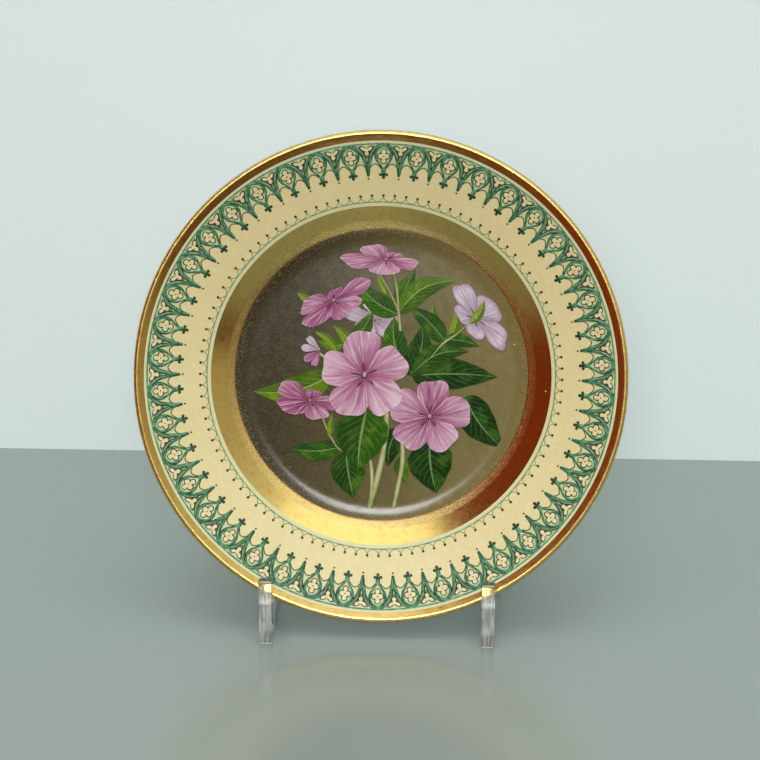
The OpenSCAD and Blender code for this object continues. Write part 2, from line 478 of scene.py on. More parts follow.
def cream_glaze():
    """Buff ground of the rim: pale beside its lines, tinted green inside the tracery."""
    material, tree, shader = new_material("cream_glaze")
    plate_at = polar(tree)
    radius, angle, place = plate_at["Radius"], plate_at["Angle"], plate_at["Place"]
    wash = node(tree, "TexNoise", scale=0.06, detail=4.0)
    tree.links.new(place, wash.inputs["Vector"])
    buff = blend_colours(tree, wash.outputs["Fac"], (0.74, 0.635, 0.325), (0.82, 0.715, 0.41))
    swag = maths(tree, "ABSOLUTE", maths(tree, "SINE", maths(tree, "MULTIPLY", angle, motifs)))
    edge = maths(tree, "ADD", 100.8, maths(tree, "MULTIPLY", swag, 2.6))
    inside = rescaled(tree, maths(tree, "SUBTRACT", radius, edge), -0.1, 0.5)
    tinted = blend_colours(tree, inside, buff, (0.62, 0.65, 0.37))
    pale_out = rescaled(tree, radius, ring_lines["outer"] - 0.2, ring_lines["outer"] + 0.4)
    pale_in = rescaled(tree, radius, ring_lines["inner"] + 0.3, ring_lines["inner"] - 0.3)
    pale = blend_colours(tree, maths(tree, "MAXIMUM", pale_out, pale_in), tinted,
                         (0.70, 0.69, 0.42))
    iron = specks(tree, place, 6.0, 0.12, 0.035)
    tree.links.new(blend_colours(tree, iron, pale, (0.20, 0.13, 0.06)),
                   shader.inputs["Base Color"])
    ripple = node(tree, "TexNoise", scale=0.35, detail=2.0)
    tree.links.new(place, ripple.inputs["Vector"])
    bump(tree, shader, ripple.outputs["Fac"], 0.00006, 0.5)
    tree.links.new(rescaled(tree, ripple.outputs["Fac"], 0.3, 0.7, 0.2, 0.3),
                   shader.inputs["Roughness"])
    return material


def worn_gold():
    """Node group: burnished gold over glaze, brushed round the plate and nicked between the
    radii Worn In and Worn Out. It is brown and thin out to the radius Lip End."""
    group, given, output = new_group(
        "worn_gold", {"Worn In": "Float", "Worn Out": "Float", "Lip End": "Float"},
        {"Color": "Color", "Metallic": "Float", "Roughness": "Float", "Normal": "Vector"})
    plate_at = polar(group)
    radius, place, around = plate_at["Radius"], plate_at["Place"], plate_at["Round"]
    streaks = node(group, "TexNoise", scale=3.0, detail=5.0, roughness=0.65)
    group.links.new(around, streaks.inputs["Vector"])
    patches = node(group, "TexNoise", scale=0.35, detail=6.0, roughness=0.7)
    group.links.new(place, patches.inputs["Vector"])
    crumbs = node(group, "TexNoise", scale=2.2, detail=4.0, roughness=0.75)
    group.links.new(place, crumbs.inputs["Vector"])
    gold = blend_colours(group, streaks.outputs["Fac"], (0.58, 0.41, 0.105), (0.73, 0.55, 0.20))
    gold = blend_colours(group, rescaled(group, patches.outputs["Fac"], 0.45, 0.75, 0, 0.6),
                         gold, (0.48, 0.28, 0.060))
    inside = rescaled(group, radius, maths(group, "ADD", given["Worn In"], -0.4),
                      maths(group, "ADD", given["Worn In"], 0.2))
    outside = rescaled(group, radius, maths(group, "ADD", given["Worn Out"], 0.8),
                       maths(group, "ADD", given["Worn Out"], -0.6))
    zone = maths(group, "MULTIPLY", inside, outside)
    rubbed = maths(group, "MULTIPLY", zone, rescaled(group, crumbs.outputs["Fac"], 0.55, 0.62))
    gold = blend_colours(group, rubbed, gold, (0.95, 0.86, 0.56))
    lip = rescaled(group, radius, given["Lip End"],
                   maths(group, "ADD", given["Lip End"], -1.1), 0, 0.75)
    gold = blend_colours(group, lip, gold, (0.33, 0.13, 0.030))
    worn_through = maths(group, "MULTIPLY", zone,
                         rescaled(group, crumbs.outputs["Fac"], 0.68, 0.70))
    bare = maths(group, "MAXIMUM", specks(group, place, 5.0, 0.10, 0.07), worn_through)
    group.links.new(blend_colours(group, bare, gold, (0.78, 0.72, 0.55)), output.inputs["Color"])
    group.links.new(maths(group, "SUBTRACT", 1.0, bare), output.inputs["Metallic"])
    rough = rescaled(group, streaks.outputs["Fac"], 0.3, 0.7, 0.14, 0.26)
    rough = maths(group, "ADD", rough, maths(group, "MULTIPLY", zone, 0.06))
    group.links.new(rough, output.inputs["Roughness"])
    grit = maths(group, "MULTIPLY", zone, crumbs.outputs["Fac"])
    relief = maths(group, "ADD", maths(group, "MULTIPLY", streaks.outputs["Fac"], 0.4),
                   maths(group, "MULTIPLY", grit, 1.6))
    bump(group, output, relief, 0.00008, 0.6)
    return group


gold_group = worn_gold()


def gilding(name, worn_in, worn_out, lip_end):
    """Worn gold with its own two radii of wear and its own lip. Radii are in mm."""
    material, tree, shader = new_material(name)
    gold = placed(tree, gold_group, worn_in=worn_in, worn_out=worn_out, lip_end=lip_end)
    tree.links.new(gold["Color"], shader.inputs["Base Color"])
    for label in ("Metallic", "Roughness", "Normal"):
        tree.links.new(gold[label], shader.inputs[label])
    return material


def painted_ground():
    """Glossy umber ground behind the flowers, dark at the left and olive at the right."""
    material, tree, shader = new_material("umber_ground")
    shader.inputs["Specular IOR Level"].default_value = 0.4
    plate_at = polar(tree)
    place = plate_at["Place"]
    parts = node(tree, "SeparateXYZ")
    tree.links.new(place, parts.inputs["Vector"])
    across = rescaled(tree, maths(tree, "ADD", parts.outputs["X"],
                                  maths(tree, "MULTIPLY", parts.outputs["Y"], -0.15)), -60, 62)
    ground = blend_colours(tree, across, (0.038, 0.031, 0.015), (0.185, 0.152, 0.055))
    strokes = node(tree, "TexNoise", scale=0.22, detail=6.0, roughness=0.7)
    tree.links.new(place, strokes.inputs["Vector"])
    ground = blend_colours(tree, 0.55, ground,
                           blend_colours(tree, strokes.outputs["Fac"], (0.30, 0.29, 0.28),
                                         (0.70, 0.68, 0.62)), "SOFT_LIGHT")
    grain = node(tree, "TexNoise", scale=1.4, detail=3.0)
    tree.links.new(place, grain.inputs["Vector"])
    ground = blend_colours(tree, rescaled(tree, grain.outputs["Fac"], 0.42, 0.62, 0, 0.07), ground,
                           (0.24, 0.21, 0.12))
    scuffed = rescaled(tree, plate_at["Radius"], 67.0, 71.5, 0.05, 0.30)
    ground = blend_colours(tree, maths(tree, "MULTIPLY", scuffed,
                                       rescaled(tree, grain.outputs["Fac"], 0.55, 0.60)),
                           ground, (0.50, 0.42, 0.27))
    chips = specks(tree, place, 9.0, 0.22, 0.045)
    tree.links.new(blend_colours(tree, chips, ground, (0.62, 0.58, 0.45)),
                   shader.inputs["Base Color"])
    fine = node(tree, "TexNoise", scale=1.6, detail=4.0)
    tree.links.new(place, fine.inputs["Vector"])
    tree.links.new(rescaled(tree, strokes.outputs["Fac"], 0.3, 0.7, 0.13, 0.19),
                   shader.inputs["Roughness"])
    bump(tree, shader, fine.outputs["Fac"], 0.00003, 0.5)
    return material


def white_glaze():
    """Plain glazed porcelain of the back, with fine crazing and a few pinholes."""
    material, tree, shader = new_material("white_glaze")
    place = polar(tree)["Place"]
    wash = node(tree, "TexNoise", scale=0.05, detail=3.0)
    tree.links.new(place, wash.inputs["Vector"])
    body = blend_colours(tree, wash.outputs["Fac"], (0.78, 0.77, 0.70), (0.84, 0.83, 0.78))
    cracks = node(tree, "TexVoronoi", feature="DISTANCE_TO_EDGE", scale=0.16)
    tree.links.new(place, cracks.inputs["Vector"])
    line = rescaled(tree, cracks.outputs["Distance"], 0.0, 0.012, 0.35, 0.0)
    body = blend_colours(tree, line, body, (0.50, 0.45, 0.33))
    tree.links.new(blend_colours(tree, specks(tree, place, 7.0, 0.15, 0.04), body,
                                 (0.18, 0.13, 0.08)), shader.inputs["Base Color"])
    tree.links.new(rescaled(tree, wash.outputs["Fac"], 0.3, 0.7, 0.12, 0.2),
                   shader.inputs["Roughness"])
    return material


def bare_foot():
    """Unglazed foot ring, matt and a little grey from standing."""
    material, tree, shader = new_material("bare_foot_ring")
    place = polar(tree)["Place"]
    grit = node(tree, "TexNoise", scale=2.5, detail=6.0, roughness=0.75)
    tree.links.new(place, grit.inputs["Vector"])
    tree.links.new(blend_colours(tree, rescaled(tree, grit.outputs["Fac"], 0.4, 0.7),
                                 (0.74, 0.70, 0.60), (0.45, 0.40, 0.32)),
                   shader.inputs["Base Color"])
    shader.inputs["Roughness"].default_value = 0.75
    bump(tree, shader, grit.outputs["Fac"], 0.00005, 0.8)
    return material


zones = ["painted_ground", "gilded_well", "cream", "gilded_rim", "white", "foot"]
for finish in (painted_ground(), gilding("gilded_well", 71.8, 75.5, 72.8), cream_glaze(),
               gilding("gilded_rim", 118.6, 121.0, 0.0), white_glaze(), bare_foot()):
    plate.data.materials.append(finish)
for face in plate.data.polygons:
    r = face.center.xy.length
    front = face.normal.z > 0.05 and face.center.z > 6 * mm
    if r > 118.6 * mm or (front and r > gold_in):
        zone = "gilded_rim"
    elif front:
        zone = "cream" if r > well_r else "gilded_well" if r > ground_r else "painted_ground"
    else:
        zone = "foot" if face.center.z < 0.15 * mm else "white"
    face.material_index = zones.index(zone)

stand_up(plate)
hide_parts("plate")
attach(plate, "plate")


# ---------------------------------------------------------------------------------------------
# Border tracery. Green pointed arches painted in raised enamel over the rim's glaze, with a
# teardrop window in each, small leaves between them and a finial below. One bay is drawn flat,
# copied round the rim and laid on the slope.
# ---------------------------------------------------------------------------------------------
half_bay = pi / motifs
slope_rise = (rim_z - well_z) / (rim_r - well_r)
line_w = 0.48
line_height = 0.10
band_height = 0.06


def on_rim(side, rho):
    """A place in the first bay. Side runs from -1 to 1 across it and rho is a radius in mm."""
    return (rho * sin(side * half_bay) * mm, rho * cos(side * half_bay) * mm)


def stroke(name, points, width, height, finish, taper=None):
    """A painted line through places on the plate, as a low rounded ridge. Sizes are in mm."""
    bpy.ops.object.select_all(action="DESELECT")
    bpy.ops.curve.primitive_bezier_curve_add()
    line = bpy.context.object
    line.name = name
    spline = line.data.splines[0]
    spline.bezier_points.add(len(points) - 2)
    widths = taper or [1] * len(points)
    for bend, (x, y), share in zip(spline.bezier_points, points, widths):
        bend.co = (x, y, 0)
        bend.handle_left_type = bend.handle_right_type = "AUTO"
        bend.radius = share
    line.data.resolution_u = 4
    line.data.bevel_depth = width / 2 * mm
    line.data.bevel_resolution = 0
    line.data.use_fill_caps = True
    only(line)
    bpy.ops.object.convert(target="MESH")
    line = bpy.context.object
    line.scale = (1, 1, height / (width / 2))
    bpy.ops.object.transform_apply(location=False, rotation=False, scale=True)
    line.data.materials.clear()
    line.data.materials.append(finish)
    return line


def drop(name, place, size, height, finish, stretch=1.0, turn=0.0, sides=10):
    """A drop of enamel with a flat top and sloping edge. Size is its radius in mm."""
    bpy.ops.object.select_all(action="DESELECT")
    bpy.ops.mesh.primitive_cone_add(vertices=sides, radius1=size * mm, radius2=size * 0.72 * mm,
                                    depth=height * mm, location=(*place, height / 2 * mm),
                                    rotation=(0, 0, turn))
    dab = bpy.context.object
    dab.name = name
    dab.scale = (1, stretch, 1)
    bpy.ops.object.transform_apply(location=True, rotation=True, scale=True)
    dab.data.materials.append(finish)
    return dab


def enamel_pool():
    """Node group: brushed enamel that pools from light to deep along a stroke."""
    group, given, output = new_group("enamel_pool", {"Deep": "Color", "Light": "Color"},
                                     {"Color": "Color", "Roughness": "Float"})
    pool = node(group, "TexNoise", scale=0.5, detail=4.0, roughness=0.6)
    group.links.new(polar(group)["Place"], pool.inputs["Vector"])
    group.links.new(blend_colours(group, rescaled(group, pool.outputs["Fac"], 0.38, 0.62),
                                  given["Deep"], given["Light"]), output.inputs["Color"])
    group.links.new(rescaled(group, pool.outputs["Fac"], 0.3, 0.7, 0.25, 0.35),
                    output.inputs["Roughness"])
    return group


pool_group = enamel_pool()


def enamel(name, deep, light):
    """An enamel of two shades of its colour."""
    material, tree, shader = new_material(name)
    pool = placed(tree, pool_group, deep=deep, light=light)
    tree.links.new(pool["Color"], shader.inputs["Base Color"])
    tree.links.new(pool["Roughness"], shader.inputs["Roughness"])
    return material


def fuse(name, *parts):
    """Joins parts into one piece of this name."""
    only(*parts)
    bpy.ops.object.join()
    whole = bpy.context.object
    whole.name = name
    whole.data.name = name
    return whole


def ring_of(piece, count):
    """Repeats a piece evenly round the plate's centre."""
    bpy.ops.object.select_all(action="DESELECT")
    bpy.ops.object.empty_add(rotation=(0, 0, 2 * pi / count))
    hub = bpy.context.object
    only(piece)
    bpy.ops.object.modifier_add(type="ARRAY")
    array = piece.modifiers[-1]
    array.use_relative_offset = False
    array.use_object_offset = True
    array.offset_object = hub
    array.count = count
    bpy.ops.object.modifier_apply(modifier=array.name)
    only(hub)
    bpy.ops.object.delete()
    only(piece)


def lay_on_rim(piece):
    """Lifts every point of a flat piece by the height of the rim below it."""
    for point in piece.data.vertices:
        point.co.z += well_z + (point.co.xy.length - well_r) * slope_rise


mid_green = enamel("green_enamel", (0.040, 0.185, 0.095), (0.125, 0.370, 0.205))
dark_green = enamel("dark_green_enamel", (0.006, 0.040, 0.018), (0.018, 0.085, 0.040))
bay_cream = enamel("cream_enamel", (0.74, 0.62, 0.33), (0.82, 0.72, 0.44))
pale_green = enamel("pale_green_enamel", (0.115, 0.235, 0.095), (0.20, 0.345, 0.15))
brown_dot = enamel("brown_enamel", (0.030, 0.022, 0.008), (0.075, 0.045, 0.012))
bead_green = enamel("bead_enamel", (0.012, 0.028, 0.008), (0.040, 0.065, 0.018))

bay = []
for side in (-1, 1):
    arch = [(0.97, 99.0), (0.90, 104.0), (0.70, 108.3), (0.38, 111.6), (0.0, 113.1)]
    arch = [on_rim(side * s, rho) for s, rho in arch]
    bay.append(stroke("arch_band", arch, 1.35, band_height, mid_green, [1.0, 0.9, 0.75, 0.65, 0.5]))
    inner = [(0.80, 102.4), (0.76, 105.0), (0.60, 108.4), (0.47, 110.0)]
    bay.append(stroke("arch_inner", [on_rim(side * s, rho) for s, rho in inner],
                      line_w * 0.8, line_height, dark_green, [0.6, 1, 1, 0.6]))
    edge = [(0.99, 98.2), (0.98, 104.0), (0.79, 108.9), (0.45, 112.1), (0.16, 113.2)]
    bay.append(stroke("arch_edge", [on_rim(side * s, rho) for s, rho in edge],
                      line_w, line_height, dark_green, [1.2, 1, 1, 1, 0.8]))
    drop_side = [(0.0, 100.2), (0.17, 102.6), (0.42, 106.0), (0.42, 109.4), (0.2, 111.6),
                 (0.0, 112.5)]
    drop_side = [on_rim(side * s, rho) for s, rho in drop_side]
    bay.append(stroke("window_band", drop_side, 1.2, band_height, mid_green,
                      [1.3, 0.9, 0.9, 0.9, 0.9, 1.0]))
    outline = [(0.09, 101.4), (0.26, 103.2), (0.50, 106.2), (0.50, 109.6), (0.27, 111.9)]
    bay.append(stroke("window_edge", [on_rim(side * s, rho) for s, rho in outline],
                      line_w * 0.9, line_height, dark_green, [0.8, 1, 1, 1, 0.7]))
    scallop = [(0.90, 101.2), (0.74, 102.9), (0.52, 103.6), (0.32, 102.7), (0.17, 101.3)]
    bay.append(stroke("scallop", [on_rim(side * s, rho) for s, rho in scallop],
                      line_w, line_height, dark_green, [0.7, 1, 1.1, 1, 0.7]))
    wedge = [(1.0, 106.3), (1 - 0.16, 109.0), (1 - 0.33, 111.3), (1 - 0.46, 112.6)]
    bay.append(stroke("wedge", [on_rim(side * s, rho) for s, rho in wedge],
                      line_w * 0.8, line_height, dark_green))
    bay.append(drop("lobe_edge", on_rim(side * 0.19, 107.3), 1.72, 0.085, dark_green))
    bay.append(drop("lobe", on_rim(side * 0.19, 107.3), 1.42, 0.12, bay_cream))
    bay.append(drop("leaf_edge", on_rim(1 + side * 0.20, 111.1), 1.25, 0.085, dark_green,
                    1.75, -half_bay + side * radians(-58)))
    bay.append(drop("leaf", on_rim(1 + side * 0.20, 111.1), 0.95, 0.12, bay_cream,
                    1.8, -half_bay + side * radians(-58)))
for name, rho, size in (("top_lobe", 109.5, 1.42), ("low_lobe", 105.0, 1.36)):
    bay.append(drop(name + "_edge", on_rim(0, rho), size + 0.26, 0.085, dark_green))
    bay.append(drop(name, on_rim(0, rho), size, 0.12, bay_cream))
bay.append(drop("heart", on_rim(0, 107.3), 1.75, 0.121, bay_cream))
bay.append(drop("heart_dot", on_rim(0, 107.3), 0.45, 0.15, brown_dot, sides=8))
bay.append(drop("tip_lobe_edge", on_rim(1, 108.8), 1.55, 0.085, dark_green))
bay.append(drop("tip_lobe", on_rim(1, 108.8), 1.25, 0.12, bay_cream))
bay.append(drop("tip_neck", on_rim(1, 110.3), 1.1, 0.121, bay_cream))
bay.append(stroke("stem", [on_rim(0, 101.8), on_rim(0, 100.2), on_rim(0, 98.2)],
                  2.3, band_height, mid_green, [0.9, 1.0, 0.8]))
for s, rho, size in ((-0.20, 98.4, 0.80), (0.20, 98.4, 0.80), (0, 98.3, 1.0), (0, 97.1, 0.85)):
    bay.append(drop("finial", on_rim(s, rho), size, 0.12, dark_green, sides=8))
bay.append(stroke("spike", [on_rim(1, 104.0), on_rim(1, 100.5), on_rim(1, 97.6)],
                  2.3, band_height, mid_green, [1.2, 1.0, 0.55]))
bay.append(stroke("spike_edge", [on_rim(0.93, 101.5), on_rim(0.96, 99.2), on_rim(1, 97.6)],
                  line_w, line_height + 0.02, dark_green))
bay.append(drop("spike_dot", on_rim(1, 96.5), 0.5, 0.12, brown_dot, sides=8))

tracery = fuse("border_tracery", *bay)
ring_of(tracery, motifs)

beads = 100
bead_step = 2 * pi / beads


def on_bead(step, rho):
    return (rho * sin(step * bead_step) * mm, rho * cos(step * bead_step) * mm)


swag = [on_bead(0, 87.8), on_bead(0.10, 86.5), on_bead(0.5, 85.35), on_bead(0.90, 86.5),
        on_bead(1, 87.6)]
beading = fuse("rim_beading",
               stroke("swag", swag, 0.36, 0.06, pale_green),
               drop("bead", on_bead(0, 88.3), 0.70, 0.16, bead_green, sides=8))
ring_of(beading, beads)
circles = []
for name, rho, width, finish in (("outer_circle", 113.4, 0.8, mid_green),
                                 ("inner_circle", 85.1, 0.5, pale_green)):
    bpy.ops.object.select_all(action="DESELECT")
    bpy.ops.mesh.primitive_torus_add(major_radius=rho * mm, minor_radius=width / 2 * mm,
                                     major_segments=240, minor_segments=6)
    circle = bpy.context.object
    circle.name = name
    circle.scale = (1, 1, 0.2)
    bpy.ops.object.transform_apply(location=False, rotation=False, scale=True)
    circle.data.materials.append(finish)
    circles.append(circle)
border = fuse("painted_border", beading, *circles, tracery)
lay_on_rim(border)
stand_up(border)
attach(border, "plate")


# ---------------------------------------------------------------------------------------------
# Bouquet. Pink five-petal flowers and green leaves painted over the umber ground in layered
# enamel. Each petal and leaf is a very thin film with its own veins, laid over the one below.
# ---------------------------------------------------------------------------------------------
film = 0.03
layer_step = 0.06


def tone(piece, value):
    """Stores how pale a film is, which its material reads."""
    shade = piece.data.attributes.new("tone", "FLOAT", "FACE")
    shade.data.foreach_set("value", [value] * len(shade.data))


def brushed_film():
    """Node group: the gloss and the low brush marks of a thin film of enamel."""
    group, _, output = new_group("brushed_film", {}, {"Roughness": "Float", "Normal": "Vector"})
    brush = node(group, "TexNoise", scale=0.8, detail=3.0)
    group.links.new(polar(group)["Place"], brush.inputs["Vector"])
    group.links.new(rescaled(group, brush.outputs["Fac"], 0.3, 0.7, 0.12, 0.2),
                    output.inputs["Roughness"])
    bump(group, output, brush.outputs["Fac"], 0.00003, 0.5)
    return group


def veined_petal():
    """Node group: throat, middle and blade colours run into each other along a petal, under
    streaks that fan outwards and a paint on its edge."""
    group, given, output = new_group(
        "veined_petal", {"Across": "Float", "Along": "Float", "Tone": "Float", "Throat": "Color",
                         "Middle": "Color", "Blade": "Color", "Light": "Color",
                         "Edge": "Color", "Edge From": "Float", "Edge Strength": "Float"},
        {"Color": "Color"})
    across, along, middle = given["Across"], given["Along"], given["Middle"]
    colour = blend_colours(group, rescaled(group, along, 0.12, 0.95), middle, given["Blade"])
    colour = blend_colours(group, rescaled(group, along, 0.34, 0.05), colour, given["Throat"])
    strip = node(group, "CombineXYZ")
    group.links.new(maths(group, "MULTIPLY", across, 11.0), strip.inputs["X"])
    group.links.new(maths(group, "MULTIPLY", along, 0.9), strip.inputs["Y"])
    group.links.new(maths(group, "MULTIPLY", given["Tone"], 37.0), strip.inputs["Z"])
    streak = node(group, "TexNoise", scale=1.3, detail=5.0, roughness=0.65)
    group.links.new(strip.outputs["Vector"], streak.inputs["Vector"])
    pale = rescaled(group, streak.outputs["Fac"], 0.48, 0.70, 0, 0.75)
    deep = rescaled(group, streak.outputs["Fac"], 0.50, 0.32, 0, 0.9)
    colour = blend_colours(group, pale, colour, given["Light"])
    colour = blend_colours(group, deep, colour, middle)
    colour = blend_colours(group, rescaled(group, across, 0.22, 0.0, 0, 0.65), colour, middle)
    rim = maths(group, "MAXIMUM", rescaled(group, across, 0.84, 1.0),
                rescaled(group, along, given["Edge From"], 1))
    rim = maths(group, "MULTIPLY", rim, rescaled(group, streak.outputs["Fac"], 0.36, 0.60))
    rim = maths(group, "MULTIPLY", rim, given["Edge Strength"])
    group.links.new(blend_colours(group, rim, colour, given["Edge"]), output.inputs["Color"])
    return group


film_group = brushed_film()
petal_group = veined_petal()


def film_material(name, colours):
    """A film's material. Colours gets the tree and the film's own width, length and tone."""
    material, tree, shader = new_material(name)
    shader.inputs["Specular IOR Level"].default_value = 0.14
    own = node(tree, "SeparateXYZ")
    tree.links.new(node(tree, "UVMap").outputs["UV"], own.inputs["Vector"])
    shade = node(tree, "Attribute", attribute_name="tone").outputs["Fac"]
    tree.links.new(colours(tree, own.outputs["X"], own.outputs["Y"], shade),
                   shader.inputs["Base Color"])
    brushed = placed(tree, film_group)
    tree.links.new(brushed["Roughness"], shader.inputs["Roughness"])
    tree.links.new(brushed["Normal"], shader.inputs["Normal"])
    return material


def petal_colours(tree, across, along, shade):
    """Front of a petal: maroon throat, magenta middle and a pink blade."""
    blade = blend_colours(tree, shade, (0.36, 0.085, 0.235), (0.74, 0.52, 0.63))
    middle = blend_colours(tree, shade, (0.21, 0.020, 0.115), (0.47, 0.17, 0.31))
    return placed(tree, petal_group, across=across, along=along, tone=shade,
                  throat=(0.20, 0.010, 0.090), middle=middle, blade=blade,
                  light=(0.80, 0.62, 0.72), edge=(0.86, 0.74, 0.82), edge_from=0.90,
                  edge_strength=0.22)["Color"]


def petal_back_colours(tree, across, along, shade):
    """Back of a petal: lilac-white, with green at the base and a magenta edge."""
    blade = blend_colours(tree, shade, (0.42, 0.27, 0.44), (0.66, 0.60, 0.68))
    return placed(tree, petal_group, across=across, along=along, tone=shade,
                  throat=(0.30, 0.36, 0.16), middle=(0.36, 0.24, 0.36), blade=blade,
                  light=(0.82, 0.79, 0.84), edge=(0.33, 0.05, 0.24), edge_from=0.80,
                  edge_strength=0.75)["Color"]


def leaf_colours(tree, across, along, shade):
    """Dark to yellow-green blade with a pale midrib and arched side veins."""
    blade = blend_colours(tree, rescaled(tree, shade, 0.0, 0.5), (0.005, 0.026, 0.002),
                          (0.025, 0.108, 0.002))
    blade = blend_colours(tree, rescaled(tree, shade, 0.5, 1.0), blade, (0.20, 0.31, 0.010))
    lit = node(tree, "TexNoise", scale=0.16, detail=4.0, roughness=0.65)
    tree.links.new(polar(tree)["Place"], lit.inputs["Vector"])
    blade = blend_colours(tree, rescaled(tree, lit.outputs["Fac"], 0.44, 0.66, 0, 0.6), blade,
                          blend_colours(tree, shade, (0.036, 0.125, 0.014), (0.27, 0.43, 0.03)))
    away = maths(tree, "ABSOLUTE", maths(tree, "SUBTRACT", across, 0.5))
    under = rescaled(tree, across, 0.46, 0.56, 0, 0.5)
    blade = blend_colours(tree, under, blade, (0.006, 0.030, 0.006))
    rib = rescaled(tree, away, 0.034, 0.010, 0, 0.85)
    arc = maths(tree, "SUBTRACT", maths(tree, "MULTIPLY", along, 8.0),
                maths(tree, "MULTIPLY", away, 5.5))
    vein = rescaled(tree, maths(tree, "PINGPONG", arc, 0.5), 0.07, 0.0, 0, 0.55)
    vein = maths(tree, "MULTIPLY", vein, rescaled(tree, away, 0.5, 0.30))
    pale = blend_colours(tree, shade, (0.13, 0.25, 0.12), (0.42, 0.52, 0.14))
    blade = blend_colours(tree, maths(tree, "MAXIMUM", rib, vein), blade, pale)
    edge = rescaled(tree, away, 0.46, 0.50, 0, 0.5)
    return blend_colours(tree, edge, blade, (0.035, 0.10, 0.02))


def stem_colours(tree, _across, _along, _shade):
    """Yellow-green stalks, darker here and there."""
    patch = node(tree, "TexNoise", scale=0.07, detail=3.0)
    tree.links.new(polar(tree)["Place"], patch.inputs["Vector"])
    return blend_colours(tree, rescaled(tree, patch.outputs["Fac"], 0.35, 0.65),
                         (0.27, 0.30, 0.10), (0.52, 0.53, 0.28))


petal_paint = film_material("petal_enamel", petal_colours)
petal_back_paint = film_material("petal_back_enamel", petal_back_colours)
leaf_paint = film_material("leaf_enamel", leaf_colours)
stem_paint = film_material("stem_enamel", stem_colours)
throat_paint = enamel("throat_enamel", (0.055, 0.004, 0.025), (0.13, 0.012, 0.055))
eye_paint = enamel("eye_enamel", (0.62, 0.45, 0.50), (0.75, 0.62, 0.60))


def new_film(name, cells_across, cells_along, finish, pale):
    """A flat sheet with its own width and length in its UV map, ready to be shaped."""
    bpy.ops.object.select_all(action="DESELECT")
    bpy.ops.mesh.primitive_grid_add(x_subdivisions=cells_across, y_subdivisions=cells_along,
                                    size=1.0)
    sheet = bpy.context.object
    sheet.name = name
    sheet.data.materials.append(finish)
    tone(sheet, pale)
    return sheet


def petal(name, length, spread, heading, pale, finish, notch=0.0):
    """A fan-shaped petal from the origin. Spread and heading are angles, length is in mm."""
    sheet = new_film(name, 20, 10, finish, pale)
    for point in sheet.data.vertices:
        across = 2 * point.co.x
        along = 0.03 + 0.97 * (point.co.y + 0.5)
        narrow = 1 - 0.10 * (1 - along) - 0.12 * max(0, along - 0.75) / 0.25
        wave = 1 - 0.26 * abs(across) ** 4 + 0.026 * sin(6 * across + 15 * pale) - notch * across
        reach = length * along * (1 + (wave - 1) * along ** 2)
        turn = heading - across * spread / 2 * narrow
        rise = 0.05 * along * (1 - across * across)
        point.co = (reach * sin(turn) * mm, reach * cos(turn) * mm, rise * mm)
    return sheet


def flower(name, place, size, squash, lean_turn, spin, pale, level, lengths=(1, 1, 1, 1, 1),
           finish=None):
    """Five petals round a throat, seen turned aside where squash is below one."""
    petals = []
    for i, share in enumerate(lengths):
        one = petal(f"{name}_petal", size * share, radians(77), spin + i * 2 * pi / 5,
                    pale + 0.09 * ((i * 2) % 5) - 0.18, finish or petal_paint, 0.06)
        one.location.z = 0.012 * (i % 3) * mm
        petals.append(one)
    for i in range(5):
        heading = spin + i * 2 * pi / 5
        slit = drop("slit", (0.21 * size * sin(heading) * mm, 0.21 * size * cos(heading) * mm),
                    0.028 * size, 0.05, throat_paint, 4.2, -heading, 8)
        slit.location.z = 0.05 * mm
        petals.append(slit)
    for what, width, high, finish in (("throat", 0.085, 0.08, throat_paint),
                                      ("eye", 0.050, 0.12, eye_paint),
                                      ("pupil", 0.026, 0.14, throat_paint)):
        dab = drop(what, (0, 0), width * size, high, finish)
        dab.location.z = 0.03 * mm
        petals.append(dab)
    whole = fuse(name, *petals)
    whole.scale = (1, squash, 1)
    bpy.ops.object.transform_apply(location=True, rotation=True, scale=True)
    whole.rotation_euler = (0, 0, lean_turn)
    whole.location = (place[0] * mm, place[1] * mm, layer_step * level * mm)
    return whole


def leaf(base, tip, width, bend, pale, level):
    """A leaf from base to tip, bowed aside by bend of its length. Places are in mm."""
    sheet = new_film("leaf", 8, 28, leaf_paint, pale)
    start, end = Vector(base), Vector(tip)
    run = end - start
    side = Vector((run.y, -run.x)).normalized()
    for point in sheet.data.vertices:
        across = 2 * point.co.x
        along = point.co.y + 0.5
        half = width / 2 * 2.95 * max(along, 0.0001) ** 0.6 * max(1 - along, 0.0001) ** 1.05
        half *= 1 + 0.025 * sin(24 * along + 9 * pale)
        middle = start + run * along + side * bend * run.length * sin(pi * along)
        spot = middle + side * across * half
        rise = 0.03 * (1 - abs(across)) * sin(pi * along)
        point.co = (spot.x * mm, spot.y * mm, rise * mm)
    sheet.location.z = layer_step * level * mm
    return sheet


def stalk(points, width, level):
    """A stem through places in mm."""
    line = stroke("stem", [(x * mm, y * mm) for x, y in points], width, 0.07, stem_paint)
    line.data.uv_layers.new(name="UVMap")
    tone(line, 0.5)
    line.location.z = layer_step * level * mm
    return line


